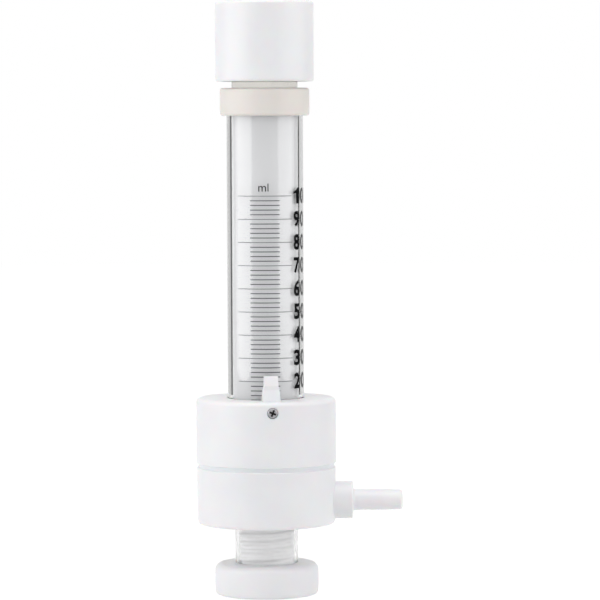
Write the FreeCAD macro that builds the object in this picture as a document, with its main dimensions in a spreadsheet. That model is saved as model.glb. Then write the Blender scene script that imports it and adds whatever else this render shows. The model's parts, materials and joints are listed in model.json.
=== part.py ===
import FreeCAD, Part
import os

import Sketcher

# Bottle-top dosing dispenser: a knob lifts a ground piston in a graduated glass cylinder. The cylinder
# is clamped on a valve block with a suction ball valve on the axis and a discharge ball valve in the
# outlet. Millimetres, +Z up, origin at the centre of the bottle adapter's mouth, +X along the outlet.

Vector = FreeCAD.Vector
Rotation = FreeCAD.Rotation

sizes = {
    # bottle adapter, a ring that screws on the bottle below and on the neck stub above
    "adapterTop": 16.0,
    "adapterRimRadius": 25.75,
    "adapterBarrelRadius": 80.2,
    "adapterShoulder": 3.5,
    "adapterFoot": 2.0,
    "bottleThreadRadius": 22.6,
    "bottleThreadTop": 8.0,
    "washerSeatRadius": 23.2,
    "washerSeatTop": 9.6,
    "washerThickness": 1.4,
    "washerPlay": 0.1,
    "washerGap": 0.5,
    # neck stub with the outside thread, and the translucent sleeve screwed over it as a stop
    "neckRadius": 14.0,
    "neckBoreRadius": 11.0,
    "sleeveRadius": 15.8,
    "sleevePlay": 0.1,
    "sleeveChamfer": 0.3,
    "neckFoot": 9.8,
    "neckTop": 42.0,
    "neckChamfer": 1.0,
    "threadPlay": 0.08,
    "neckSealInner": 11.4,
    "neckSealOuter": 13.8,
    # valve block
    "blockFoot": 35.7,
    "blockTopEdge": 64.4,
    "blockFootRadius": 34.55,
    "blockRadius": 34.95,
    "blockFillet": 2.0,
    "blockEdgeChamfer": 0.5,
    "jointRadius": 34.15,
    "jointTop": 66.4,
    "spigotRadius": 30.8,
    "spigotTop": 80.5,
    "neckSocketTop": 43.0,
    "wellRadius": 7.0,
    "portRadius": 1.75,
    "portOffset": 11.5,
    # outlet boss, nipple and discharge valve; lengths are along the outlet from the main axis
    "outletHeight": 47.4,
    "bossRadius": 9.4,
    "bossRoot": 28.0,
    "bossEnd": 43.6,
    "bossFillet": 0.8,
    "outletThreadRadius": 6.5,
    "outletThreadStart": 28.6,
    "valveWellRadius": 5.0,
    "valveWellStart": 20.0,
    "dischargeSeatEnd": 23.5,
    "dischargeSeatCone": 1.5,
    "dischargeConeRadius": 3.25,
    "dischargeBallRadius": 2.75,
    "dischargeBallPlace": 24.18,
    "valveSkirtBore": 3.5,
    "springShoulder": 34.0,
    "springRadius": 2.1,
    "springWire": 0.24,
    "springStart": 26.25,
    "springPitch": 1.6,
    "plugStart": 30.0,
    "nippleBore": 2.2,
    "nippleRadius": 5.25,
    "nippleTipRadius": 4.95,
    "nippleTaperStart": 60.0,
    "nippleEnd": 68.5,
    "nippleTipFillet": 1.4,
    "nippleRootFillet": 1.2,
    # suction valve stacked in the block's well
    "hoseSpigotRadius": 4.0,
    "hoseSpigotBore": 2.5,
    "hoseSpigotFoot": 18.0,
    "hoseSpigotChamfer": 0.8,
    "hexFlangeFoot": 39.6,
    "hexFlangeRadius": 10.3,
    "suctionPlugFoot": 42.0,
    "suctionSeatFoot": 48.0,
    "suctionSeatTop": 53.2,
    "suctionConeFoot": 51.2,
    "suctionConeRadius": 4.5,
    "suctionBallRadius": 4.0,
    "suctionBallPlace": 54.41,
    "cageBore": 4.6,
    "cageRoof": 60.3,
    "cageTop": 62.7,
    "cageHoleRadius": 1.1,
    "cageHoleOffset": 3.1,
    "insertConeTop": 65.2,
    "insertMouth": 5.0,
    "insertRadius": 16.3,
    "insertTop": 84.2,
    "insertDish": 1.5,
    # glass measuring cylinder with its foot flange, and its two end fittings
    "glassBore": 16.6,
    "glassFoot": 82.0,
    "glassFlangeTop": 87.0,
    "glassFlangeRadius": 23.0,
    "glassFlangeFillet": 1.4,
    "glassRadius": 19.2,
    "glassTop": 246.0,
    "gasketBore": 16.9,
    "gasketRadius": 23.5,
    "footRingBore": 21.3,
    "footRingRadius": 23.9,
    "footRingTop": 89.0,
    "collarFoot": 240.8,
    "collarTop": 254.7,
    "collarRadius": 22.45,
    "collarFillet": 1.5,
    "collarPocketRadius": 19.3,
    "collarBore": 16.9,
    "guideFoot": 247.6,
    "guideTop": 251.6,
    # clamp cover that screws down on the block's spigot
    "coverTop": 99.3,
    "coverRadius": 35.15,
    "coverThreadRadius": 30.9,
    "coverThreadTop": 80.9,
    "coverPocketRadius": 24.2,
    "coverBore": 19.45,
    "coverTopFillet": 2.2,
    "coverFootChamfer": 0.4,
    # index tab and its screw, set a little to the outlet's side of the front
    "tabAngle": 5.9,
    "tabFoot": 90.5,
    "tabTop": 111.8,
    "tabStepTop": 107.0,
    "tabStepFoot": 105.2,
    "tabInner": 23.7,
    "tabOuter": 30.4,
    "tabTopOuter": 27.2,
    "tabStepOuter": 28.8,
    "tabHalfWidth": 4.55,
    "tabStepHalfWidth": 4.05,
    "tabUpperHalfWidth": 3.55,
    "tabTopHalfWidth": 3.4,
    "tabPlay": 0.1,
    "screwHeight": 94.0,
    "screwHeadRadius": 2.65,
    "screwHeadInner": 33.6,
    "screwHeadOuter": 35.5,
    "screwHeadFillet": 0.9,
    "screwRadius": 1.5,
    "screwTip": 25.6,
    "screwHoleRadius": 1.7,
    "screwCounterbore": 2.78,
    # piston, its head and the knob
    "pistonFoot": 85.4,
    "pistonRadius": 16.52,
    "pistonBore": 13.4,
    "pistonFloor": 89.4,
    "pistonTop": 250.0,
    "pistonFootChamfer": 0.4,
    "pistonFloorFillet": 2.0,
    "headPlugFoot": 236.0,
    "headGrooveFoot": 241.5,
    "headGrooveTop": 243.7,
    "headGrooveRadius": 11.6,
    "headRingPlay": 0.1,
    "studRadius": 5.0,
    "studTop": 271.0,
    "knobFoot": 257.9,
    "knobTop": 298.2,
    "knobRadius": 24.7,
    "knobBore": 21.7,
    "knobRoof": 294.7,
    "knobTopFillet": 1.8,
    "knobFootFillet": 1.2,
    "knobBossRadius": 9.0,
    "knobThreadTop": 272.0,
    "knobRibFoot": 264.0,
    "knobRibWidth": 1.8,
    "knobRibRoot": 0.5,
    # play between the guide ring and the piston, and what a cut runs past a face
    "guidePlay": 0.08,
    "overrun": 3.0,
}

# Pieces that repeat round a centre
knobRibs = 6
cageHoles = 4
hexSides = 6

doc = FreeCAD.newDocument("DosingDispenser")
sheet = doc.addObject("Spreadsheet::Sheet", "Sizes")
for row, (alias, value) in enumerate(sizes.items(), start=1):
    sheet.set(f"A{row}", alias)
    sheet.set(f"B{row}", str(value))
    sheet.setAlias(f"B{row}", alias)
doc.recompute()

nodes = []


# A size is written as a sum such as "glassTop - overrun": this is its value, for a first drawing.
def amount(text):
    total = 0.0
    sign = 1
    for word in text.split():
        if word == "-":
            sign = -1
        elif word != "+":
            total += sign * (sizes[word] if word in sizes else float(word))
            sign = 1
    return total


# The same sum, bound to the sheet's cells.
def bound(text):
    return " ".join("Sizes." + word if word in sizes else word for word in text.split())


# The same sum with every sign turned.
def negated(text):
    other = {"+": "-", "-": "+"}
    return "- " + " ".join(other.get(word, word) for word in text.split())


def newBody(name):
    body = doc.addObject("PartDesign::Body", name)
    body.Label = name
    nodes.append(body)
    return body


def newSketch(body, name, role, offset=None):
    plane = next(item for item in body.Origin.OriginFeatures if item.Role == role)
    sketch = body.newObject("Sketcher::SketchObject", body.Name + "_" + name)
    sketch.AttachmentSupport = [(plane, "")]
    sketch.MapMode = "FlatFace"
    if offset:
        sketch.setExpression("AttachmentOffset.Base.z", bound(offset))
    return sketch


# Holds a point of the sketch at x, y. A point on an axis is tied to it, because a distance can't be 0.
def pin(sketch, edge, end, x, y):
    for axis, kind, text in ((-2, "DistanceX", x), (-1, "DistanceY", y)):
        if text == "0":
            sketch.addConstraint(Sketcher.Constraint("PointOnObject", edge, end, axis))
        else:
            rule = Sketcher.Constraint(kind, -1, 1, edge, end, amount(text))
            place = sketch.addConstraint(rule)
            sketch.setExpression(f"Constraints[{place}]", bound(text))


# Centre of the arc of this radius from start to finish, on the left of that way.
def arcCentre(start, finish, radius):
    half = (finish - start) * 0.5
    rise = (radius**2 - half.Length**2) ** 0.5
    left = Vector(-half.y, half.x, 0).normalize()
    return start + half + left * rise


# Closed outline through points (x, y). A third value makes the edge to the next point an arc.
def outline(sketch, points):
    places = [Vector(amount(point[0]), amount(point[1]), 0) for point in points]
    count = len(points)
    for index, point in enumerate(points):
        start = places[index]
        finish = places[(index + 1) % count]
        if len(point) == 3:
            centre = arcCentre(start, finish, amount(point[2]))
            circle = Part.Circle(centre, Vector(0, 0, 1), amount(point[2]))
            ends = [circle.parameter(start), circle.parameter(finish)]
            sketch.addGeometry(Part.ArcOfCircle(circle, *ends), False)
            place = sketch.addConstraint(Sketcher.Constraint("Radius", index, amount(point[2])))
            sketch.setExpression(f"Constraints[{place}]", bound(point[2]))
        else:
            sketch.addGeometry(Part.LineSegment(start, finish), False)
    for index in range(count):
        sketch.addConstraint(Sketcher.Constraint("Coincident", index, 2, (index + 1) % count, 1))
    for index, point in enumerate(points):
        pin(sketch, index, 1, point[0], point[1])


def ring(sketch, x, y, radius):
    centre = Vector(amount(x), amount(y), 0)
    sketch.addGeometry(Part.Circle(centre, Vector(0, 0, 1), amount(radius)), False)
    place = sketch.addConstraint(Sketcher.Constraint("Radius", 0, amount(radius)))
    sketch.setExpression(f"Constraints[{place}]", bound(radius))
    pin(sketch, 0, 3, x, y)


# Regular hexagon with one corner to the right, on a guide circle of this radius.
def hexagon(sketch, x, y, radius):
    centre = Vector(amount(x), amount(y), 0)
    arm = Vector(amount(radius), 0, 0)
    turn = Vector(0, 0, 1)
    corners = [centre + Rotation(turn, side * 360 / hexSides) * arm for side in range(hexSides)]
    for side in range(hexSides):
        sketch.addGeometry(Part.LineSegment(corners[side], corners[(side + 1) % hexSides]), False)
    guide = sketch.addGeometry(Part.Circle(centre, turn, amount(radius)), True)
    for side in range(hexSides):
        nextSide = (side + 1) % hexSides
        sketch.addConstraint(Sketcher.Constraint("Coincident", side, 2, nextSide, 1))
        sketch.addConstraint(Sketcher.Constraint("PointOnObject", side, 1, guide))
        if side:
            sketch.addConstraint(Sketcher.Constraint("Equal", 0, side))
    place = sketch.addConstraint(Sketcher.Constraint("Radius", guide, amount(radius)))
    sketch.setExpression(f"Constraints[{place}]", bound(radius))
    pin(sketch, guide, 3, x, y)
    sketch.addConstraint(Sketcher.Constraint("Horizontal", guide, 3, 0, 1))


# A turned piece: its half section, given as (radius, height) points, goes round the local Z axis.
def turned(name, points):
    body = newBody(name)
    sketch = newSketch(body, "section", "XZ_Plane")
    outline(sketch, points)
    feature = body.newObject("PartDesign::Revolution", name + "_turning")
    feature.Profile = sketch
    feature.ReferenceAxis = (sketch, ["V_Axis"])
    feature.Angle = 360
    doc.recompute()
    return body


def feature(body, kind, name, sketch, length):
    made = body.newObject("PartDesign::" + kind, body.Name + "_" + name)
    made.Profile = sketch
    made.setExpression("Length", bound(length))
    return made


# A cut takes material away, so its volume is compared.
def pocket(body, name, sketch, length):
    before = body.Shape.Volume
    made = feature(body, "Pocket", name, sketch, length)
    doc.recompute()
    if body.Shape.Volume > before - 0.01:
        raise RuntimeError(body.Name + " " + name + " cuts nothing")
    return made


def roundHole(body, name, role, offset, x, y, radius, depth):
    sketch = newSketch(body, name + "_circle", role, offset)
    ring(sketch, x, y, radius)
    return pocket(body, name, sketch, depth)


def around(body, name, original, axis, count):
    pattern = body.newObject("PartDesign::PolarPattern", body.Name + "_" + name)
    pattern.Originals = [original]
    pattern.Axis = (original.Profile[0], [axis])
    pattern.Angle = 360
    pattern.Occurrences = count
    body.Tip = pattern
    doc.recompute()


# Names of the circular edges at these (radius, height) places, in the turned piece's own frame.
def ringEdges(body, places):
    found = []
    for radius, height in places:
        for index, edge in enumerate(body.Tip.Shape.Edges, start=1):
            if edge.Curve.TypeId != "Part::GeomCircle":
                continue
            near = abs(edge.Curve.Radius - amount(radius)) < 0.01
            if near and abs(edge.Curve.Center.z - amount(height)) < 0.01:
                found.append(f"Edge{index}")
    if not found:
        raise RuntimeError(body.Name + " has no edge to dress")
    return found


def dress(body, kind, name, edges, radius):
    base = body.Tip
    made = body.newObject("PartDesign::" + kind, body.Name + "_" + name)
    made.Base = (base, edges)
    made.setExpression("Radius" if kind == "Fillet" else "Size", bound(radius))
    body.Tip = made
    doc.recompute()
    return made


def fillet(body, name, places, radius):
    return dress(body, "Fillet", name, ringEdges(body, places), radius)


def chamfer(body, name, places, size):
    return dress(body, "Chamfer", name, ringEdges(body, places), size)


# The outlet's pieces are drawn upright and laid along +X at the outlet's height.
def layAlongOutlet(item):
    item.Placement = FreeCAD.Placement(Vector(0, 0, 0), Rotation(Vector(0, 1, 0), 90))
    item.setExpression("Placement.Base.z", bound("outletHeight"))


def flatRing(name, inner, outer, foot, top):
    return turned(name, [(inner, foot), (outer, foot), (outer, top), (inner, top)])


# Bottle adapter: barrelled ring, bottle thread below, neck thread above, washer recess between.
def makeAdapter():
    body = turned("bottle_adapter", [
        ("bottleThreadRadius", "0"),
        ("adapterRimRadius", "0", "adapterBarrelRadius"),
        ("adapterRimRadius", "adapterTop"),
        ("neckRadius + threadPlay", "adapterTop"),
        ("neckRadius + threadPlay", "washerSeatTop"),
        ("washerSeatRadius", "washerSeatTop"),
        ("washerSeatRadius", "bottleThreadTop"),
        ("bottleThreadRadius", "bottleThreadTop"),
    ])
    fillet(body, "shoulder", [("adapterRimRadius", "adapterTop")], "adapterShoulder")
    fillet(body, "foot", [("adapterRimRadius", "0")], "adapterFoot")
    top = "washerSeatTop - washerPlay"
    radius = "washerSeatRadius - washerPlay"
    flatRing("adapter_washer", "neckRadius + washerGap", radius, top + " - washerThickness", top)


# Neck stub: plain tube at the thread's crest radius, screwed in the block's socket against a seal.
# The sleeve on it stands between the block and the adapter, and the adapter stops against its foot.
def makeNeck():
    body = turned("neck_stub", [
        ("neckBoreRadius", "neckFoot"),
        ("neckRadius", "neckFoot"),
        ("neckRadius", "neckTop"),
        ("neckBoreRadius", "neckTop"),
    ])
    chamfer(body, "lead", [("neckRadius", "neckFoot"), ("neckBoreRadius", "neckFoot")], "neckChamfer")
    flatRing("neck_seal_ring", "neckSealInner", "neckSealOuter", "neckTop", "neckSocketTop")
    foot = "adapterTop + sleevePlay"
    inner = "neckRadius + threadPlay"
    sleeve = flatRing("neck_sleeve", inner, "sleeveRadius", foot, "blockFoot")
    chamfer(sleeve, "edge", [("sleeveRadius", foot), ("sleeveRadius", "blockFoot")], "sleeveChamfer")


# Valve block: turned body, outlet boss, well for the suction valve, and the discharge passages.
def makeValveBlock():
    body = turned("valve_block", [
        ("neckRadius", "blockFoot"),
        ("blockFootRadius", "blockFoot"),
        ("blockRadius", "blockTopEdge"),
        ("jointRadius", "blockTopEdge"),
        ("jointRadius", "jointTop"),
        ("spigotRadius", "jointTop"),
        ("spigotRadius", "spigotTop"),
        ("wellRadius", "spigotTop"),
        ("wellRadius", "neckSocketTop"),
        ("neckRadius", "neckSocketTop"),
    ])
    fillet(body, "footRounding", [("blockFootRadius", "blockFoot")], "blockFillet")
    chamfer(body, "topEdge", [("blockRadius", "blockTopEdge")], "blockEdgeChamfer")
    chamfer(body, "spigotLead", [("spigotRadius", "spigotTop")], "neckChamfer")
    sketch = newSketch(body, "bossCircle", "YZ_Plane", "bossRoot")
    ring(sketch, "0", "outletHeight", "bossRadius")
    feature(body, "Pad", "boss", sketch, "bossEnd - bossRoot")
    doc.recompute()
    rim = [
        f"Edge{index}"
        for index, edge in enumerate(body.Tip.Shape.Edges, start=1)
        if edge.Curve.TypeId == "Part::GeomCircle"
        and abs(edge.Curve.Radius - amount("bossRadius")) < 0.01
        and abs(edge.Curve.Center.x - amount("bossEnd")) < 0.01
    ]
    dress(body, "Fillet", "bossRounding", rim, "bossFillet")
    for name, radius, start in (
        ("plugThread", "outletThreadRadius", "outletThreadStart"),
        ("valveWell", "valveWellRadius", "valveWellStart"),
        ("outletPassage", "portRadius", "portOffset - portRadius"),
    ):
        depth = "bossEnd " + negated(start)
        roundHole(body, name, "YZ_Plane", "bossEnd", "0", "outletHeight", radius, depth)
    depth = "spigotTop - outletHeight + portRadius"
    roundHole(body, "dropPassage", "XY_Plane", "spigotTop", "portOffset", "0", "portRadius", depth)


# Discharge valve: seat with a cone, ball, spring, and the nipple whose skirt holds them in the boss.
def makeOutlet():
    seat = turned("discharge_seat", [
        ("portRadius", "valveWellStart"),
        ("valveWellRadius", "valveWellStart"),
        ("valveWellRadius", "dischargeSeatEnd"),
        ("dischargeConeRadius", "dischargeSeatEnd"),
        ("portRadius", "dischargeSeatEnd - dischargeSeatCone"),
    ])
    layAlongOutlet(seat)
    ball = doc.addObject("Part::Sphere", "discharge_ball")
    ball.Label = "discharge_ball"
    ball.setExpression("Radius", bound("dischargeBallRadius"))
    ball.setExpression("Placement.Base.x", bound("dischargeBallPlace"))
    ball.setExpression("Placement.Base.z", bound("outletHeight"))
    nodes.append(ball)
    makeSpring()
    nipple = turned("outlet_nipple", [
        ("valveSkirtBore", "dischargeSeatEnd"),
        ("valveWellRadius", "dischargeSeatEnd"),
        ("valveWellRadius", "plugStart"),
        ("outletThreadRadius", "plugStart"),
        ("outletThreadRadius", "bossEnd"),
        ("nippleRadius", "bossEnd"),
        ("nippleRadius", "nippleTaperStart"),
        ("nippleTipRadius", "nippleEnd"),
        ("nippleBore", "nippleEnd"),
        ("nippleBore", "springShoulder"),
        ("valveSkirtBore", "springShoulder"),
    ])
    fillet(nipple, "root", [("nippleRadius", "bossEnd")], "nippleRootFillet")
    fillet(nipple, "tip", [("nippleTipRadius", "nippleEnd")], "nippleTipFillet")
    layAlongOutlet(nipple)
    start = "outletThreadStart"
    seal = flatRing("outlet_seal_ring", "valveWellRadius", "outletThreadRadius", start, "plugStart")
    layAlongOutlet(seal)


# Wire wound from the ball to the shoulder in the nipple, drawn with six flats.
def makeSpring():
    body = newBody("discharge_spring")
    sketch = newSketch(body, "wire", "XZ_Plane")
    hexagon(sketch, "springRadius", "springStart", "springWire")
    coil = body.newObject("PartDesign::AdditiveHelix", "discharge_spring_coil")
    coil.Profile = sketch
    coil.ReferenceAxis = (sketch, ["V_Axis"])
    coil.Mode = 0
    coil.setExpression("Pitch", bound("springPitch"))
    coil.setExpression("Height", bound("springShoulder - springStart - springWire"))
    layAlongOutlet(body)


# Suction side, upwards: hose spigot with a hexagon to screw it in, seat, ball, cage, chamber insert.
def makeSuction():
    body = turned("suction_spigot", [
        ("hoseSpigotBore", "hoseSpigotFoot"),
        ("hoseSpigotRadius", "hoseSpigotFoot"),
        ("hoseSpigotRadius", "suctionPlugFoot"),
        ("wellRadius", "suctionPlugFoot"),
        ("wellRadius", "suctionSeatFoot"),
        ("hoseSpigotBore", "suctionSeatFoot"),
    ])
    chamfer(body, "tip", [("hoseSpigotRadius", "hoseSpigotFoot")], "hoseSpigotChamfer")
    sketch = newSketch(body, "hexagon", "XY_Plane", "hexFlangeFoot")
    hexagon(sketch, "0", "0", "hexFlangeRadius")
    bore = "hoseSpigotBore + hoseSpigotChamfer"
    hole = sketch.addGeometry(Part.Circle(Vector(0, 0, 0), Vector(0, 0, 1), amount(bore)), False)
    sketch.addConstraint(Sketcher.Constraint("Coincident", hole, 3, -1, 1))
    place = sketch.addConstraint(Sketcher.Constraint("Radius", hole, amount(bore)))
    sketch.setExpression(f"Constraints[{place}]", bound(bore))
    feature(body, "Pad", "flange", sketch, "neckSocketTop - hexFlangeFoot")
    turned("suction_seat", [
        ("hoseSpigotBore", "suctionSeatFoot"),
        ("wellRadius", "suctionSeatFoot"),
        ("wellRadius", "suctionSeatTop"),
        ("suctionConeRadius", "suctionSeatTop"),
        ("hoseSpigotBore", "suctionConeFoot"),
    ])
    ball = doc.addObject("Part::Sphere", "suction_ball")
    ball.Label = "suction_ball"
    ball.setExpression("Radius", bound("suctionBallRadius"))
    ball.setExpression("Placement.Base.z", bound("suctionBallPlace"))
    nodes.append(ball)
    cage = turned("suction_cage", [
        ("cageBore", "suctionSeatTop"),
        ("wellRadius", "suctionSeatTop"),
        ("wellRadius", "cageTop"),
        ("0", "cageTop"),
        ("0", "cageRoof"),
        ("cageBore", "cageRoof"),
    ])
    depth = "cageTop - cageRoof + overrun"
    hole = roundHole(cage, "flowHole", "XY_Plane", "cageTop", "cageHoleOffset", "0",
                     "cageHoleRadius", depth)
    around(cage, "flowHoles", hole, "N_Axis", cageHoles)
    insert = turned("chamber_insert", [
        ("insertMouth", "cageTop"),
        ("wellRadius", "cageTop"),
        ("wellRadius", "spigotTop"),
        ("insertRadius", "spigotTop"),
        ("insertRadius", "insertTop"),
        ("hoseSpigotBore + insertDish", "insertTop"),
        ("hoseSpigotBore", "insertTop - insertDish"),
        ("hoseSpigotBore", "insertConeTop"),
    ])
    depth = "insertTop - spigotTop + overrun"
    roundHole(insert, "dischargePort", "XY_Plane", "insertTop", "portOffset", "0", "portRadius", depth)


# Glass measuring cylinder with a ground flange at the foot, its gasket, foot ring and collar.
def makeCylinder():
    glass = turned("measuring_cylinder", [
        ("glassBore", "glassFoot"),
        ("glassFlangeRadius", "glassFoot"),
        ("glassFlangeRadius", "glassFlangeTop"),
        ("glassRadius", "glassFlangeTop"),
        ("glassRadius", "glassTop"),
        ("glassBore", "glassTop"),
    ])
    fillet(glass, "flangeRoot", [("glassRadius", "glassFlangeTop")], "glassFlangeFillet")
    flatRing("cylinder_gasket", "gasketBore", "gasketRadius", "spigotTop", "glassFoot")
    flatRing("cylinder_foot_ring", "footRingBore", "footRingRadius", "glassFlangeTop", "footRingTop")
    collar = turned("cylinder_collar", [
        ("collarPocketRadius", "collarFoot"),
        ("collarRadius", "collarFoot"),
        ("collarRadius", "collarTop"),
        ("collarBore", "collarTop"),
        ("collarBore", "guideTop"),
        ("collarPocketRadius", "guideTop"),
        ("collarPocketRadius", "guideFoot"),
        ("collarBore", "guideFoot"),
        ("collarBore", "glassTop"),
        ("collarPocketRadius", "glassTop"),
    ])
    edges = [("collarRadius", "collarFoot"), ("collarRadius", "collarTop")]
    fillet(collar, "rounding", edges, "collarFillet")
    inner = "pistonRadius + guidePlay"
    flatRing("piston_guide_ring", inner, "collarPocketRadius", "guideFoot", "guideTop")


# Clamp cover: cap that screws on the spigot and presses the glass flange down on its gasket.
def makeCover():
    cover = turned("clamp_cover", [
        ("coverThreadRadius", "jointTop"),
        ("coverRadius", "jointTop"),
        ("coverRadius", "coverTop"),
        ("coverBore", "coverTop"),
        ("coverBore", "footRingTop"),
        ("coverPocketRadius", "footRingTop"),
        ("coverPocketRadius", "coverThreadTop"),
        ("coverThreadRadius", "coverThreadTop"),
    ])
    fillet(cover, "topRounding", [("coverRadius", "coverTop")], "coverTopFillet")
    chamfer(cover, "footEdge", [("coverRadius", "jointTop")], "coverFootChamfer")
    sketch = newSketch(cover, "tabSlotOutline", "XY_Plane", "coverTop")
    half = "tabHalfWidth + tabPlay"
    rectangle(sketch, half, "tabInner - tabPlay", "tabOuter + tabPlay")
    pocket(cover, "tabSlot", sketch, "coverTop - tabFoot")
    start = "coverRadius + overrun"
    for name, radius, end in (
        ("headRecess", "screwCounterbore", "screwHeadInner"),
        ("screwHole", "screwHoleRadius", "tabOuter"),
    ):
        depth = start + " - " + end
        roundHole(cover, name, "XZ_Plane", start, "0", "screwHeight", radius, depth)
    turnToTab(cover)


# Rectangle across the front, from the near to the far distance off the axis; the front is at -Y.
def rectangle(sketch, half, near, far):
    left = negated(half)
    low = negated(far)
    high = negated(near)
    outline(sketch, [(left, low), (half, low), (half, high), (left, high)])


# The tab, its slot and its screw stand at one angle from the front.
def turnToTab(item):
    item.Placement = FreeCAD.Placement(Vector(0, 0, 0), Rotation(Vector(0, 0, 1), sizes["tabAngle"]))
    item.setExpression("Placement.Rotation.Angle", bound("tabAngle"))


# Index tab: foot in the cover's slot, then a wedge with one step, lofted between four rectangles.
def makeTab():
    body = newBody("index_tab")
    sketch = newSketch(body, "foot", "XY_Plane", "tabFoot")
    rectangle(sketch, "tabHalfWidth", "tabInner", "tabOuter")
    feature(body, "Pad", "root", sketch, "coverTop - tabFoot")
    doc.recompute()
    stages = [
        ("coverTop", "tabHalfWidth", "tabOuter"),
        ("tabStepFoot", "tabStepHalfWidth", "tabStepOuter"),
        ("tabStepTop", "tabUpperHalfWidth", "tabStepOuter"),
        ("tabTop", "tabTopHalfWidth", "tabTopOuter"),
    ]
    sections = []
    for index, (height, half, outer) in enumerate(stages):
        sketch = newSketch(body, f"section{index}", "XY_Plane", height)
        rectangle(sketch, half, "tabInner", outer)
        sections.append(sketch)
    blade = body.newObject("PartDesign::AdditiveLoft", "index_tab_blade")
    blade.Profile = sections[0]
    blade.Sections = sections[1:]
    blade.Ruled = True
    doc.recompute()
    start = "tabOuter + overrun"
    depth = start + " - screwTip"
    roundHole(body, "screwThread", "XZ_Plane", start, "0", "screwHeight", "screwRadius", depth)
    turnToTab(body)


# Pan-head screw, turned upright with heights measured from the main axis, then laid radially.
def makeScrew():
    body = turned("index_tab_screw", [
        ("0", "screwTip"),
        ("screwRadius", "screwTip"),
        ("screwRadius", "screwHeadInner"),
        ("screwHeadRadius", "screwHeadInner"),
        ("screwHeadRadius", "screwHeadOuter"),
        ("0", "screwHeadOuter"),
    ])
    fillet(body, "head", [("screwHeadRadius", "screwHeadOuter")], "screwHeadFillet")
    outwards = Rotation(Vector(0, 0, 1), sizes["tabAngle"]).multiply(Rotation(Vector(1, 0, 0), 90))
    body.Placement = FreeCAD.Placement(Vector(0, 0, 0), outwards)
    body.setExpression("Placement.Base.z", bound("screwHeight"))


# Piston: closed ground tube. Its head plugs the tube with a sealing ring and carries the knob.
def makePiston():
    tube = turned("piston_tube", [
        ("0", "pistonFoot"),
        ("pistonRadius", "pistonFoot"),
        ("pistonRadius", "pistonTop"),
        ("pistonBore", "pistonTop"),
        ("pistonBore", "pistonFloor"),
        ("0", "pistonFloor"),
    ])
    chamfer(tube, "lead", [("pistonRadius", "pistonFoot")], "pistonFootChamfer")
    fillet(tube, "floor", [("pistonBore", "pistonFloor")], "pistonFloorFillet")
    turned("piston_head", [
        ("0", "headPlugFoot"),
        ("pistonBore", "headPlugFoot"),
        ("pistonBore", "headGrooveFoot"),
        ("headGrooveRadius", "headGrooveFoot"),
        ("headGrooveRadius", "headGrooveTop"),
        ("pistonBore", "headGrooveTop"),
        ("pistonBore", "pistonTop"),
        ("pistonRadius", "pistonTop"),
        ("pistonRadius", "knobFoot"),
        ("studRadius", "knobFoot"),
        ("studRadius", "studTop"),
        ("0", "studTop"),
    ])
    foot = "headGrooveFoot + headRingPlay"
    top = "headGrooveTop - headRingPlay"
    flatRing("piston_head_ring", "headGrooveRadius", "pistonBore", foot, top)


# Knob: moulded cap with a threaded boss in the middle and ribs from the boss to the wall.
def makeKnob():
    body = turned("knob", [
        ("knobBore", "knobFoot"),
        ("knobRadius", "knobFoot"),
        ("knobRadius", "knobTop"),
        ("0", "knobTop"),
        ("0", "knobThreadTop"),
        ("studRadius", "knobThreadTop"),
        ("studRadius", "knobFoot"),
        ("knobBossRadius", "knobFoot"),
        ("knobBossRadius", "knobRoof"),
        ("knobBore", "knobRoof"),
    ])
    fillet(body, "topRounding", [("knobRadius", "knobTop")], "knobTopFillet")
    fillet(body, "footRounding", [("knobRadius", "knobFoot")], "knobFootFillet")
    sketch = newSketch(body, "ribOutline", "XZ_Plane")
    inner = "knobBossRadius - knobRibRoot"
    outer = "knobBore + knobRibRoot"
    roof = "knobRoof + knobRibRoot"
    outline(sketch, [(inner, "knobRibFoot"), (outer, "knobRibFoot"), (outer, roof), (inner, roof)])
    rib = feature(body, "Pad", "rib", sketch, "knobRibWidth")
    rib.SideType = "Symmetric"
    doc.recompute()
    around(body, "ribs", rib, "V_Axis", knobRibs)


makeAdapter()
makeNeck()
makeValveBlock()
makeOutlet()
makeSuction()
makeCylinder()
makeCover()
makeTab()
makeScrew()
makePiston()
makeKnob()
doc.recompute()

for item in doc.Objects:
    if "Invalid" in item.State or "Error" in item.State:
        raise RuntimeError(item.Name + " failed")
os.makedirs("parts", exist_ok=True)
for node in nodes:
    shape = node.Shape
    if shape.isNull() or not shape.isValid() or len(shape.Solids) != 1:
        raise RuntimeError(node.Label + " is not one sound solid")
    shape.exportStep(f"parts/{node.Label}.step")
    print(node.Label, round(shape.Volume / 1000, 3), "ml")
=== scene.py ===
import json
import math

import bmesh
import bpy
from mathutils import Matrix, Vector


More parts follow.
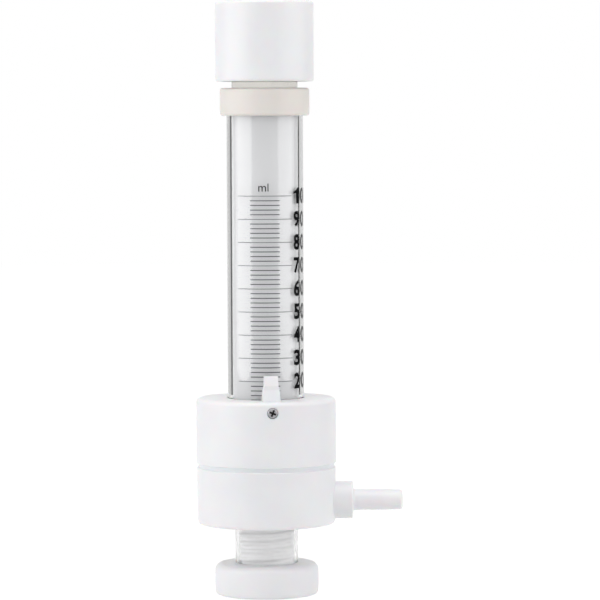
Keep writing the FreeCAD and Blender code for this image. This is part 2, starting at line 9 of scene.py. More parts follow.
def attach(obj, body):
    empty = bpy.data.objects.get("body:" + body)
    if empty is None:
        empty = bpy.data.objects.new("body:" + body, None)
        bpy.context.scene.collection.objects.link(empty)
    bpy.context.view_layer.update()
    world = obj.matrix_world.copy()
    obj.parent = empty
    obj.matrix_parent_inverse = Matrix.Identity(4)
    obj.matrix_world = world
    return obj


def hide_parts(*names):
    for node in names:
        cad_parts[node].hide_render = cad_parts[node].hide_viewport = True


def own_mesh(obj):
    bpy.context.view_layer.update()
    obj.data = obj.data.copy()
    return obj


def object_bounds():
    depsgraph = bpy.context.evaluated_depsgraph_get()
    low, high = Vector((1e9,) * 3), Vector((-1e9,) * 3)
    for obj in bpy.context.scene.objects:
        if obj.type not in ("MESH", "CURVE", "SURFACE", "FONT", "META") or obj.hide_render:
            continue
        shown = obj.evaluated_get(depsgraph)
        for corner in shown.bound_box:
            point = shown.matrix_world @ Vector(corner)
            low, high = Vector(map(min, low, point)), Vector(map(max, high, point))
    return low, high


# Bottle-top dosing dispenser. The object's lengths are in mm until a mesh is made. The floor, the cards,
# the lamps and the camera are placed in metres.
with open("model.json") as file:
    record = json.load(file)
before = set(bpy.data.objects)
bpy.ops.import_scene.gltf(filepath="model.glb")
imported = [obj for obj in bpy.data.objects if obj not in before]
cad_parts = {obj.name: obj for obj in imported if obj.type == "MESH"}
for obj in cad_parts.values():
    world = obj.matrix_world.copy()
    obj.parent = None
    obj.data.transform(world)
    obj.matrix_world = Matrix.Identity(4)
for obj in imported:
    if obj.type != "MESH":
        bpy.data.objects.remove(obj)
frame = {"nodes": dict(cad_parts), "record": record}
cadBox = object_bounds()
record = frame["record"]
mm = 0.001
print("frame loaded")


# Colours

def linear(code):
    parts = [int(code[place:place + 2], 16) / 255 for place in (0, 2, 4)]
    return [part / 12.92 if part <= 0.04045 else ((part + 0.055) / 1.055) ** 2.4 for part in parts] + [1]


# Node helpers: a value may be a number, a colour or another node's output.

def addNode(tree, kind, values=None, **settings):
    node = tree.nodes.new(kind)
    for key, value in settings.items():
        setattr(node, key, value)
    for key, value in (values or {}).items():
        if isinstance(value, bpy.types.NodeSocket):
            tree.links.new(value, node.inputs[key])
        else:
            node.inputs[key].default_value = value
    return node


def maths(tree, operation, *terms):
    return addNode(tree, "ShaderNodeMath", dict(enumerate(terms)), operation=operation).outputs[0]


# Materials: patterns lie on object coordinates, in metres, so a pattern of so many mm has a scale
# of 1000 divided by that.

def emptyMaterial(name):
    material = bpy.data.materials.new(name)
    material.use_nodes = True
    material.node_tree.nodes.clear()
    return material, material.node_tree


def newMaterial(name):
    material, tree = emptyMaterial(name)
    shader = addNode(tree, "ShaderNodeBsdfPrincipled")
    output = addNode(tree, "ShaderNodeOutputMaterial")
    tree.links.new(shader.outputs[0], output.inputs["Surface"])
    place = addNode(tree, "ShaderNodeTexCoord").outputs["Object"]
    return material, tree, shader, place


# All patterns: the noise's own roughness, the middle part of its values that is used, and how strongly
# grain and tool marks bend the light.
pattern = {"roughness": 0.55, "from": 0.3, "to": 0.7, "grain": 0.5, "marks": 0.4}


def noise(tree, place, size, detail=3):
    values = {"Vector": place, "Scale": 1 / (size * mm), "Detail": detail,
              "Roughness": pattern["roughness"]}
    return addNode(tree, "ShaderNodeTexNoise", values).outputs[0]


def spread(tree, value, low, high):
    values = {"Value": value, "From Min": pattern["from"], "From Max": pattern["to"],
              "To Min": low, "To Max": high}
    return addNode(tree, "ShaderNodeMapRange", values).outputs["Result"]


# Fine rings that a turning tool leaves, spaced by its feed, on walls and on flat faces alike.
def toolMarks(tree, place, feed):
    axes = addNode(tree, "ShaderNodeSeparateXYZ", {0: place}).outputs
    flat = addNode(tree, "ShaderNodeCombineXYZ", {0: axes[0], 1: axes[1]}).outputs[0]
    radius = addNode(tree, "ShaderNodeVectorMath", {0: flat}, operation="LENGTH").outputs["Value"]
    along = maths(tree, "DIVIDE", maths(tree, "ADD", radius, axes[2]), feed * mm)
    values = {"W": along, "Scale": 1.0, "Detail": 1}
    return addNode(tree, "ShaderNodeTexNoise", values, noise_dimensions="1D").outputs[0]


# look: two close colours, the size of their clouds, roughness and its variation, grain size and
# relief in mm, the feed of a turned piece in mm, and any of the shader's own values.
def surface(name, look):
    material, tree, shader, place = newMaterial(name)
    clouds = noise(tree, place, look["cloud"], 2)
    # a mix node keeps its colour sockets at 6 and 7, and its colour output at 2
    tone = addNode(tree, "ShaderNodeMix", {
        0: spread(tree, clouds, 0, 1), 6: linear(look["colour"]), 7: linear(look["shade"]),
    }, data_type="RGBA")
    tree.links.new(tone.outputs[2], shader.inputs["Base Color"])
    grain = noise(tree, place, look["grain"])
    low = look["roughness"] - look["vary"]
    high = look["roughness"] + look["vary"]
    tree.links.new(spread(tree, grain, low, high), shader.inputs["Roughness"])
    bump = addNode(tree, "ShaderNodeBump", {
        "Height": grain, "Strength": pattern["grain"], "Distance": look["relief"] * mm,
    })
    if "feed" in look:
        bump = addNode(tree, "ShaderNodeBump", {
            "Height": toolMarks(tree, place, look["feed"]), "Strength": pattern["marks"],
            "Distance": look["relief"] * mm, "Normal": bump.outputs[0],
        })
    tree.links.new(bump.outputs[0], shader.inputs["Normal"])
    for key, value in look.get("own", {}).items():
        shader.inputs[key].default_value = value
    return material


looks = {
    # injection moulded: an even satin skin with a soft, broad shine
    "white_moulding": ("Moulded white polypropylene", {
        "colour": "EEEEF0", "shade": "EAEAED", "cloud": 30, "roughness": 0.34, "vary": 0.04,
        "grain": 0.6, "relief": 0.004,
        "own": {"IOR": 1.49, "Subsurface Weight": 0.3, "Subsurface Scale": 0.003},
    }),
    # turned: the same white with fine rings that spread its shine. Their feed is drawn coarser than a
    # real one, so that they show.
    "turned_white": ("Turned white polypropylene", {
        "colour": "EEEEF0", "shade": "EAEAED", "cloud": 30, "roughness": 0.36, "vary": 0.05,
        "grain": 0.4, "relief": 0.003, "feed": 0.25,
        "own": {"IOR": 1.49, "Subsurface Weight": 0.3, "Subsurface Scale": 0.003},
    }),
    # turned, with the same rings: warmer and duller than the white
    "cream_moulding": ("Turned off-white acetal", {
        "colour": "E6E1DC", "shade": "E2DDD8", "cloud": 20, "roughness": 0.42, "vary": 0.05,
        "grain": 0.5, "relief": 0.004, "feed": 0.25,
        "own": {"IOR": 1.48, "Subsurface Weight": 0.3, "Subsurface Scale": 0.004},
    }),
    # moulded: a harder, brighter white that still reads as white through the sleeve
    "stub_moulding": ("Moulded bright white polypropylene", {
        "colour": "FAFAFA", "shade": "F7F7F8", "cloud": 12, "roughness": 0.3, "vary": 0.04,
        "grain": 0.6, "relief": 0.004,
        "own": {"IOR": 1.49},
    }),
    # moulded: milky, so that what lies behind it shows as a blurred tone
    "head_moulding": ("Moulded translucent acetal", {
        "colour": "F8F5EF", "shade": "F4F1EB", "cloud": 20, "roughness": 0.18, "vary": 0.04,
        "grain": 0.5, "relief": 0.004,
        "own": {"IOR": 1.15, "Transmission Weight": 0.82},
    }),
    # moulded without pigment: a clear veil with faint waves, and the thread shows through it
    "natural_moulding": ("Moulded natural polypropylene", {
        "colour": "FFFFFF", "shade": "FCFCFC", "cloud": 12, "roughness": 0.14, "vary": 0.02,
        "grain": 3, "relief": 0.001,
        "own": {"IOR": 1.2, "Transmission Weight": 0.85},
    }),
    # ground with fine grit: white and all but dull, with a grain that shows only close up
    "ground_glass": ("Ground white glass", {
        "colour": "ECECEE", "shade": "E8E8EA", "cloud": 25, "roughness": 0.55, "vary": 0.06,
        "grain": 0.15, "relief": 0.003,
        "own": {"IOR": 1.5},
    }),
    # turned from bar: waxy white with little shine
    "ptfe": ("Turned white fluoropolymer", {
        "colour": "EFEFEC", "shade": "EBEBE8", "cloud": 10, "roughness": 0.5, "vary": 0.05,
        "grain": 0.3, "relief": 0.003,
        "own": {"IOR": 1.38, "Subsurface Weight": 0.2, "Subsurface Scale": 0.001},
    }),
    # moulded: near black and dull
    "seal_rubber": ("Moulded black fluoroelastomer", {
        "colour": "1C1C1E", "shade": "222224", "cloud": 6, "roughness": 0.6, "vary": 0.08,
        "grain": 0.12, "relief": 0.006,
        "own": {"IOR": 1.5},
    }),
    # moulded: pale grey and dull
    "washer_rubber": ("Moulded pale grey silicone", {
        "colour": "C9C9C5", "shade": "C2C2BE", "cloud": 8, "roughness": 0.65, "vary": 0.06,
        "grain": 0.15, "relief": 0.006,
        "own": {"IOR": 1.43},
    }),
    # polished: a small, sharp highlight on warm white
    "ceramic_ball": ("Polished alumina", {
        "colour": "F1EFE8", "shade": "EDEAE2", "cloud": 2, "roughness": 0.12, "vary": 0.03,
        "grain": 0.1, "relief": 0.0005,
        "own": {"IOR": 1.76},
    }),
    # drawn or headed: a broad metal shine, a little uneven
    "steel": ("Drawn stainless steel", {
        "colour": "A6A6A8", "shade": "929295", "cloud": 0.8, "roughness": 0.3, "vary": 0.07,
        "grain": 0.12, "relief": 0.002,
        "own": {"Metallic": 1.0},
    }),
    # the screw's recess: steel painted dark to stand for the shade inside the recess, almost without shine
    "recess_shade_steel": ("Stainless steel painted with recess shade", {
        "colour": "2E2D2C", "shade": "1F1E1E", "cloud": 0.5, "roughness": 0.6, "vary": 0.1,
        "grain": 0.12, "relief": 0.004,
        "own": {"Metallic": 0.6},
    }),
    # printed and fired on the glass: nearly black, with a weak gloss
    "black_ink": ("Fired black ink", {
        "colour": "0A0B0D", "shade": "111214", "cloud": 0.7, "roughness": 0.16, "vary": 0.06,
        "grain": 0.1, "relief": 0.001,
        "own": {"IOR": 1.22},
    }),
    # the same ink where it is thinner: grey
    "grey_ink": ("Fired grey ink", {
        "colour": "505155", "shade": "5A5B60", "cloud": 0.7, "roughness": 0.2, "vary": 0.06,
        "grain": 0.1, "relief": 0.001,
        "own": {"IOR": 1.25},
    }),
}
materials = {slot: surface(*look) for slot, look in looks.items()}


# Drawn borosilicate tube: clear, with the faintest waves, which are ten times as long as they are wide,
# and a little greyer where the light's way through the glass is long.
glassLook = {
    "wave": 9, "along": 0.1, "strength": 0.3, "relief": 0.004,
    "own": {"Base Color": linear("FFFFFF"), "Roughness": 0.01, "IOR": 1.474, "Transmission Weight": 1.0},
    "loss": {"Color": (0.5, 0.55, 0.53, 1), "Density": 12.0},
}


def makeGlass():
    material, tree, shader, place = newMaterial("Drawn borosilicate glass")
    stretched = addNode(tree, "ShaderNodeMapping", {"Vector": place, "Scale": (1, 1, glassLook["along"])})
    bump = addNode(tree, "ShaderNodeBump", {
        "Height": noise(tree, stretched.outputs[0], glassLook["wave"], 1),
        "Strength": glassLook["strength"], "Distance": glassLook["relief"] * mm,
    })
    tree.links.new(bump.outputs[0], shader.inputs["Normal"])
    for key, value in glassLook["own"].items():
        shader.inputs[key].default_value = value
    loss = addNode(tree, "ShaderNodeVolumeAbsorption", glassLook["loss"])
    tree.links.new(loss.outputs[0], tree.nodes["Material Output"].inputs["Volume"])
    return material


materials["clear_glass"] = makeGlass()
# pieces whose finish differs from that of their slot
ownFinish = {"piston_head": "head_moulding", "clamp_cover": "turned_white", "valve_block": "turned_white"}
for row in record["subparts"]:
    mesh = frame["nodes"][row["node"]].data
    mesh.materials.clear()
    mesh.materials.append(materials[ownFinish.get(row["node"], row["material_slot"])])
print("materials made")


# Mesh helpers

def link(item):
    bpy.context.scene.collection.objects.link(item)
    return item


# The inks aren't slots of the record, so a piece of ink has none.
def newPiece(name, mesh, slot, body, *nodes):
    piece = link(bpy.data.objects.new(name, mesh))
    if not mesh.materials:
        mesh.materials.append(materials[slot])
    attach(piece, body)
    if nodes:
        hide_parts(*nodes)
    return piece


def baked(host, name):
    graph = bpy.context.evaluated_depsgraph_get()
    mesh = bpy.data.meshes.new_from_object(host.evaluated_get(graph))
    mesh.name = name
    bpy.data.objects.remove(host)
    return mesh


def meshFrom(shape, name):
    mesh = bpy.data.meshes.new(name)
    shape.to_mesh(mesh)
    shape.free()
    return mesh


def smooth(mesh, angle=30):
    mesh.polygons.foreach_set("use_smooth", [True] * len(mesh.polygons))
    mesh.set_sharp_from_angle(angle=math.radians(angle))


# Rounds the corners of a closed outline: a corner is (radius, height) or (radius, height, rounding).
def rounded(corners, steps=6):
    points = []
    for index, corner in enumerate(corners):
        here = Vector(corner[:2])
        if len(corner) == 2:
            points.append(here)
            continue
        back = (Vector(corners[index - 1][:2]) - here).normalized()
        ahead = (Vector(corners[(index + 1) % len(corners)][:2]) - here).normalized()
        half = back.angle(ahead) / 2
        centre = here + (back + ahead).normalized() * (corner[2] / math.sin(half))
        start = here + back * (corner[2] / math.tan(half)) - centre
        finish = here + ahead * (corner[2] / math.tan(half)) - centre
        for step in range(steps + 1):
            points.append(centre + start.lerp(finish, step / steps).normalized() * corner[2])
    return points


# Rows of points along a straight wall, so that a thread can be cut in it.
def wall(radius, low, high, spacing):
    count = max(1, round(abs(high - low) / spacing))
    return [(radius, low + (high - low) * step / count) for step in range(count + 1)]


# A point is added near each end of a long side, so that the shading of a rounded corner ends there and
# doesn't run on along the side.
def held(points, margin=0.3):
    result = []
    for index, point in enumerate(points):
        here = Vector(point)
        side = Vector(points[(index + 1) % len(points)]) - here
        result.append(here)
        if side.length > 4 * margin:
            step = side.normalized() * margin
            result += [here + step, here + side - step]
    return result


# A closed mesh turned about the Z axis from a closed outline of (radius, height) points.
def lathe(name, points, sides=192):
    shape = bmesh.new()
    rings = []
    angles = [2 * math.pi * side / sides for side in range(sides)]
    for radius, height in held(points):
        # a point on the axis stays a single one
        around = angles if radius > 1e-6 else [0]
        rings.append([
            shape.verts.new((radius * math.cos(angle) * mm, radius * math.sin(angle) * mm, height * mm))
            for angle in around
        ])
    for index, ring in enumerate(rings):
        above = rings[(index + 1) % len(rings)]
        if len(ring) == 1 and len(above) == 1:
            continue
        for side in range(sides):
            nextSide = (side + 1) % sides
            corners = [ring[side % len(ring)], ring[nextSide % len(ring)],
                       above[nextSide % len(above)], above[side % len(above)]]
            shape.faces.new(list(dict.fromkeys(corners)))
    bmesh.ops.recalc_face_normals(shape, faces=shape.faces)
    mesh = meshFrom(shape, name)
    smooth(mesh)
    return mesh


# Geometry Nodes: a tree with named inputs, and a run of it that leaves a plain mesh.

def newTree(name, numbers):
    tree = bpy.data.node_groups.new(name, "GeometryNodeTree")
    tree.interface.new_socket("Geometry", in_out="INPUT", socket_type="NodeSocketGeometry")
    for label, value in numbers.items():
        kind = "NodeSocketInt" if isinstance(value, int) else "NodeSocketFloat"
        tree.interface.new_socket(label, in_out="INPUT", socket_type=kind)
    tree.interface.new_socket("Finish", in_out="INPUT", socket_type="NodeSocketMaterial")
    tree.interface.new_socket("Geometry", in_out="OUTPUT", socket_type="NodeSocketGeometry")
    return tree, addNode(tree, "NodeGroupInput").outputs


def endTree(tree, entry, geometry):
    real = addNode(tree, "GeometryNodeRealizeInstances", {"Geometry": geometry})
    painted = addNode(tree, "GeometryNodeSetMaterial", {
        "Geometry": real.outputs[0], "Material": entry["Finish"],
    })
    addNode(tree, "NodeGroupOutput", {"Geometry": painted.outputs[0]})


def grown(name, tree, values, finish, mesh=None):
    host = link(bpy.data.objects.new(name, mesh or bpy.data.meshes.new(name)))
    modifier = host.modifiers.new(tree.name, "NODES")
    modifier.node_group = tree
    # an input is set by its socket's identifier
    values = dict(values, Finish=finish)
    for item in tree.interface.items_tree:
        if item.in_out == "INPUT" and item.name in values:
            modifier[item.identifier] = values[item.name]
    return baked(host, name)


# Both threads: the pitch, how near to their radius a point must be to move, where the groove's flanks
# start and end in shares of the pitch, and the angle up to which they are shaded smooth.
threads = {"pitch": 4, "reach": 0.05, "down": (0.12, 0.36), "up": (0.64, 0.88), "smooth": 50}


# Screw thread: points of the turned mesh near one radius go inwards where the helix has its groove.
def threadTree():
    numbers = dict.fromkeys(("Radius", "Reach", "Depth", "Pitch", "Low", "High", "Fade"), 0.0)
    tree, entry = newTree("helicalThread", numbers)
    place = addNode(tree, "ShaderNodeSeparateXYZ", {
        0: addNode(tree, "GeometryNodeInputPosition").outputs[0],
    }).outputs
    turn = maths(tree, "DIVIDE", maths(tree, "ARCTAN2", place[1], place[0]), 2 * math.pi)
    climb = maths(tree, "DIVIDE", place[2], entry["Pitch"])
    phase = maths(tree, "FRACT", maths(tree, "SUBTRACT", climb, turn))

    def ramp(value, low, high):
        return addNode(tree, "ShaderNodeMapRange", {
            "Value": value, "From Min": low, "From Max": high,
        }, interpolation_type="SMOOTHSTEP").outputs["Result"]

    groove = maths(tree, "SUBTRACT", ramp(phase, *threads["down"]), ramp(phase, *threads["up"]))
    foot = maths(tree, "ADD", entry["Low"], entry["Fade"])
    head = maths(tree, "SUBTRACT", entry["High"], entry["Fade"])
    fadeIn = ramp(place[2], entry["Low"], foot)
    fadeOut = maths(tree, "SUBTRACT", 1.0, ramp(place[2], head, entry["High"]))
    cut = maths(tree, "MULTIPLY", maths(tree, "MULTIPLY", groove, fadeIn), fadeOut)
    radius = maths(tree, "SQRT", maths(tree, "ADD", maths(tree, "MULTIPLY", place[0], place[0]),
                                       maths(tree, "MULTIPLY", place[1], place[1])))
    near = maths(tree, "LESS_THAN", maths(tree, "ABSOLUTE", maths(
        tree, "SUBTRACT", radius, entry["Radius"])), entry["Reach"])
    inwards = maths(tree, "DIVIDE", maths(tree, "SUBTRACT", radius, maths(
        tree, "MULTIPLY", cut, entry["Depth"])), radius)
    target = addNode(tree, "ShaderNodeCombineXYZ", {
        0: maths(tree, "MULTIPLY", place[0], inwards),
        1: maths(tree, "MULTIPLY", place[1], inwards),
        2: place[2],
    }).outputs[0]
    moved = addNode(tree, "GeometryNodeSetPosition", {
        "Geometry": entry["Geometry"], "Selection": near, "Position": target,
    })
    endTree(tree, entry, moved.outputs[0])
    return tree


threadNodes = threadTree()


# A turned mesh with a thread cut in it, as deep and as high as the piece's own values say.
def threaded(name, sizes, radius, points, finish):
    values = {"Radius": radius, "Reach": threads["reach"], "Pitch": threads["pitch"],
              "Depth": sizes["depth"], "Fade": sizes["fade"],
              "Low": sizes["threadFoot"], "High": sizes["threadTop"]}
    values = {key: value * mm for key, value in values.items()}
    mesh = grown(name, threadNodes, values, materials[finish],
                 lathe("blank", points, sizes["sides"]))
    smooth(mesh, threads["smooth"])
    return mesh


# Neck stub with its outside thread
neck = {"radius": 14.0, "bore": 11.0, "foot": 9.8, "top": 42.0, "lead": 1.0, "rows": 0.25, "sides": 128,
        "threadFoot": 10.3, "threadTop": 34.8, "depth": 1.4, "fade": 1.2}


def makeNeck():
    points = [(neck["bore"] + neck["lead"], neck["foot"]), (neck["radius"] - neck["lead"], neck["foot"])]
    points += wall(neck["radius"], neck["foot"] + neck["lead"], neck["threadTop"], neck["rows"])
    points += [(neck["radius"], neck["top"]), (neck["bore"], neck["top"])]
    points += [(neck["bore"], neck["foot"] + neck["lead"])]
    mesh = threaded("threaded_stub", neck, neck["radius"], points, "stub_moulding")
    newPiece("threaded_stub", mesh, "white_moulding", "housing", "neck_stub")


# Translucent sleeve over the neck
sleeve = {"inner": 14.08, "outer": 15.8, "foot": 16.1, "top": 35.7, "rounding": 0.3}


def makeSleeve():
    points = rounded([
        (sleeve["inner"], sleeve["foot"]), (sleeve["outer"], sleeve["foot"], sleeve["rounding"]),
        (sleeve["outer"], sleeve["top"], sleeve["rounding"]), (sleeve["inner"], sleeve["top"]),
    ], 3)
    newPiece("neck_cover_sleeve", lathe("sleeve", points), "natural_moulding", "housing", "neck_sleeve")


# Bottle adapter: ring that bellies out by a little, with the bottle's thread inside
ring = {"radius": 25.75, "top": 16, "footRounding": 2.0, "topRounding": 3.5, "hole": 14.08,
        "belly": 0.4, "bellyRows": (2.6, 4, 5.5, 7, 8, 9, 10.5, 12),
        "mouth": 22.6, "recess": 23.2, "recessFoot": 8.0, "recessTop": 9.6, "rows": 0.2, "sides": 192,
        "threadFoot": 0.3, "threadTop": 7.9, "depth": 1.3, "fade": 0.9}


def makeRing():
    middle = ring["top"] / 2
    belly = [(ring["radius"] + ring["belly"] * (1 - ((height - middle) / middle) ** 2), height)
             for height in ring["bellyRows"]]
    points = rounded([(ring["mouth"], 0), (ring["radius"], 0, ring["footRounding"])] + belly + [
        (ring["radius"], ring["top"], ring["topRounding"]), (ring["hole"], ring["top"]),
        (ring["hole"], ring["recessTop"]), (ring["recess"], ring["recessTop"]),
        (ring["recess"], ring["recessFoot"]),
    ] + wall(ring["mouth"], ring["recessFoot"], ring["threadFoot"], ring["rows"]))
    mesh = threaded("bottle_ring", ring, ring["mouth"], points, "white_moulding")
    newPiece("bottle_ring", mesh, "white_moulding", "bottle_adapter", "bottle_adapter")


makeNeck()
makeSleeve()
makeRing()
print("neck, sleeve and ring made")


# Glass cylinder with its foot flange, smooth enough for clean reflections
glass = {"bore": 16.6, "radius": 19.2, "foot": 82.0, "top": 246.0, "flange": 23.0, "flangeTop": 87.0,
         "boreEdge": 0.4, "footEdge": 0.6, "flangeEdge": 0.8, "flangeRoot": 1.4, "rim": 0.8, "sides": 256}


def makeCylinder():
    outline = rounded([
        (glass["bore"], glass["foot"], glass["boreEdge"]),
        (glass["flange"], glass["foot"], glass["footEdge"]),
        (glass["flange"], glass["flangeTop"], glass["flangeEdge"]),
        (glass["radius"], glass["flangeTop"], glass["flangeRoot"]),
        (glass["radius"], glass["top"], glass["rim"]), (glass["bore"], glass["top"], glass["rim"]),
    ])
    mesh = lathe("tube", outline, glass["sides"])
    newPiece("glass_tube", mesh, "clear_glass", "housing", "measuring_cylinder")


# Ground piston: a tube that is closed at its foot
piston = {"radius": 16.52, "inner": 13.4, "foot": 85.4, "floor": 89.4, "top": 250.0, "footEdge": 0.4,
          "floorRoot": 2.0, "sides": 256}


def makePiston():
    outline = rounded([
        (0, piston["foot"]), (piston["radius"], piston["foot"], piston["footEdge"]),
        (piston["radius"], piston["top"]), (piston["inner"], piston["top"]),
        (piston["inner"], piston["floor"], piston["floorRoot"]), (0, piston["floor"]),
    ])
    mesh = lathe("piston", outline, piston["sides"])
    newPiece("ground_piston", mesh, "ground_glass", "plunger", "piston_tube")


makeCylinder()
makePiston()
print("cylinder and piston made")


# Printed scale. Zero stands at the piston's foot, and each millilitre takes what the bore gives it. Every
# fifth line is a long one. The ink is a thin plate just off the glass, cut in strips so that it can bend.
scale = {"zero": piston["foot"], "perMl": 1000 / (math.pi * glass["bore"] ** 2),
         "lowest": 12, "highest": 100, "step": 2, "tens": 5,
         "longAngle": 44.0, "shortAngle": 22.4, "longWidth": 0.26, "shortWidth": 0.42,
         "ink": 0.03, "gap": 0.012, "linePoints": 97, "strip": 0.8}
# widths and heights are taken in turn, letter by letter, and bold thickens a letter's strokes
figures = {"start": 47.9, "widths": [4.8], "space": 1.1, "heights": [7.9], "bold": 0.034,
           "lowest": 20, "step": 10}
unit = {"start": -9.6, "widths": [3.9, 0.45], "space": 0.75, "heights": [2.75, 3.9], "bold": 0.0,
        "level": 204.6}


def markHeight(volume):
    return scale["zero"] + volume * scale["perMl"]


# The scale's lines, either the long or the short ones: bars at even heights, bent round the tube. A bar
# lies flat in x and z with its thickness in y until it is bent. The front is at -Y.
def lineTree():
    numbers = {"Count": 1, "Spacing": 0.0, "Lowest": 0.0, "Half Length": 0.0, "Width": 0.0, "Ink": 0.0,
               "Gap": 0.0, "Group": 1, "Tens": 1, "Tube Radius": 0.0}
    tree, entry = newTree("printedLines", numbers)
    start = addNode(tree, "ShaderNodeCombineXYZ", {2: entry["Lowest"]}).outputs[0]
    stride = addNode(tree, "ShaderNodeCombineXYZ", {2: entry["Spacing"]}).outputs[0]
    marks = addNode(tree, "GeometryNodeMeshLine", {
        "Count": entry["Count"], "Start Location": start, "Offset": stride,
    }).outputs[0]
    index = addNode(tree, "GeometryNodeInputIndex").outputs[0]
    ten = maths(tree, "COMPARE", maths(tree, "MODULO", index, entry["Group"]),
                maths(tree, "SUBTRACT", entry["Group"], 1.0), 0.5)
    wanted = maths(tree, "COMPARE", ten, entry["Tens"], 0.5)
    length = maths(tree, "MULTIPLY", entry["Half Length"], 2.0)
    size = addNode(tree, "ShaderNodeCombineXYZ", {0: length, 1: entry["Ink"], 2: entry["Width"]}).outputs[0]
    bar = addNode(tree, "GeometryNodeMeshCube", {
        "Size": size, "Vertices X": scale["linePoints"], "Vertices Y": 2, "Vertices Z": 2,
    }).outputs[0]
    bars = addNode(tree, "GeometryNodeInstanceOnPoints", {
        "Points": marks, "Selection": wanted, "Instance": bar,
    }).outputs[0]
    real = addNode(tree, "GeometryNodeRealizeInstances", {"Geometry": bars}).outputs[0]
    place = addNode(tree, "ShaderNodeSeparateXYZ", {
        0: addNode(tree, "GeometryNodeInputPosition").outputs[0],
    }).outputs
    lift = maths(tree, "ADD", maths(tree, "MULTIPLY", entry["Ink"], 0.5), entry["Gap"])
    radius = maths(tree, "ADD", maths(tree, "SUBTRACT", entry["Tube Radius"], place[1]), lift)
    angle = maths(tree, "DIVIDE", place[0], entry["Tube Radius"])
    target = addNode(tree, "ShaderNodeCombineXYZ", {
        0: maths(tree, "MULTIPLY", radius, maths(tree, "SINE", angle)),
        1: maths(tree, "MULTIPLY", maths(tree, "MULTIPLY", radius, maths(tree, "COSINE", angle)), -1.0),
        2: place[2],
    }).outputs[0]
    wrapped = addNode(tree, "GeometryNodeSetPosition", {"Geometry": real, "Position": target})
    endTree(tree, entry, wrapped.outputs[0])
    return tree


# The figure one with its flag, in shares of a figure's width and height
figureOne = [(0.42, 0), (0.94, 0), (0.94, 1), (0.6, 1), (0.42, 0.86), (0.02, 0.76), (0.02, 0.6),
             (0.42, 0.7)]


# One character as a flat plate, upright in x and y. printText sets its size and its thickness.
def letterPlate(character, bold):
    if character == "1":
        curve = bpy.data.curves.new("letter", "CURVE")
        curve.dimensions = "2D"
        curve.fill_mode = "BOTH"
        line = curve.splines.new("POLY")
        line.points.add(len(figureOne) - 1)
        for point, corner in zip(line.points, figureOne):
            point.co = (*corner, 0, 1)
        line.use_cyclic_u = True
    else:
        curve = bpy.data.curves.new("letter", "FONT")
        curve.body = character
        curve.offset = bold
        curve.resolution_u = 6
    curve.extrude = 0.001
    return baked(link(bpy.data.objects.new("letter", curve)), "letter")


# Text as a thin plate of ink: each letter is scaled to its place, cut in narrow strips and laid round
# the tube. start is the angle from the front at which the text begins.
def printText(name, text, layout, centre, slot):
    whole = bmesh.new()
    offset = 0
    for index, character in enumerate(text):
        shape = bmesh.new()
        shape.from_mesh(letterPlate(character, layout["bold"]))
        bmesh.ops.remove_doubles(shape, verts=shape.verts, dist=1e-5)
        sides = [vert.co.x for vert in shape.verts]
        levels = [vert.co.y for vert in shape.verts]
        width = layout["widths"][index % len(layout["widths"])]
        height = layout["heights"][index % len(layout["heights"])]
        for vert in shape.verts:
            across = offset + (vert.co.x - min(sides)) / (max(sides) - min(sides)) * width
            up = (vert.co.y - min(levels)) / (max(levels) - min(levels)) * height
            vert.co = Vector((across * mm, math.copysign(scale["ink"] / 2 * mm, -vert.co.z), up * mm))
        strips = math.ceil(width / scale["strip"])
        for strip in range(1, strips):
            cut = Vector(((offset + width * strip / strips) * mm, 0, 0))
            parts = shape.verts[:] + shape.edges[:] + shape.faces[:]
            bmesh.ops.bisect_plane(shape, geom=parts, plane_co=cut, plane_no=(1, 0, 0), dist=1e-7)
        whole.from_mesh(meshFrom(shape, "plate"))
        offset += width + layout["space"]
    base = (centre - layout["heights"][0] / 2) * mm
    for vert in whole.verts:
        angle = math.radians(layout["start"]) + vert.co.x / (glass["radius"] * mm)
        radius = (glass["radius"] + scale["ink"] / 2 + scale["gap"]) * mm - vert.co.y
        vert.co = Vector((radius * math.sin(angle), -radius * math.cos(angle), base + vert.co.z))
    bmesh.ops.recalc_face_normals(whole, faces=whole.faces)
    newPiece(name, meshFrom(whole, name), slot, "housing")


def makeScale():
    lines = lineTree()
    common = {
        "Count": (scale["highest"] - scale["lowest"]) // scale["step"] + 1,
        "Spacing": scale["step"] * scale["perMl"] * mm, "Lowest": markHeight(scale["lowest"]) * mm,
        "Ink": scale["ink"] * mm, "Gap": scale["gap"] * mm, "Group": scale["tens"],
        "Tube Radius": glass["radius"] * mm,
    }
    for name, tens, angle, width in (
        ("scale_long_lines", 1, scale["longAngle"], scale["longWidth"]),
        ("scale_short_lines", 0, scale["shortAngle"], scale["shortWidth"]),
    ):
        values = dict(common, Tens=tens, Width=width * mm)
        values["Half Length"] = math.radians(angle) * glass["radius"] * mm
        newPiece(name, grown(name, lines, values, materials["grey_ink"]), "grey_ink", "housing")
    for volume in range(figures["lowest"], scale["highest"] + 1, figures["step"]):
        printText(f"scale_number_{volume}", str(volume), figures, markHeight(volume), "black_ink")
    printText("scale_unit", "ml", unit, unit["level"], "black_ink")


makeScale()
print("scale made")


# Tab screw: pan head with a cross recess, turned upright and laid radially beside the front. The recess
# narrows downwards, and its cutters start above the head and a little wider than the recess.
screw = {"head": 2.65, "headInner": 33.6, "headOuter": 35.5, "fillet": 0.9, "seatEdge": 0.15,
         "shank": 1.5, "tip": 25.6, "tipEdge": 0.3, "height": 94.0, "angle": 5.9, "turned": 68.0,
         "recess": 3.5, "slot": 0.95, "deep": 1.7, "above": 0.5, "wider": 0.2, "sides": 64}


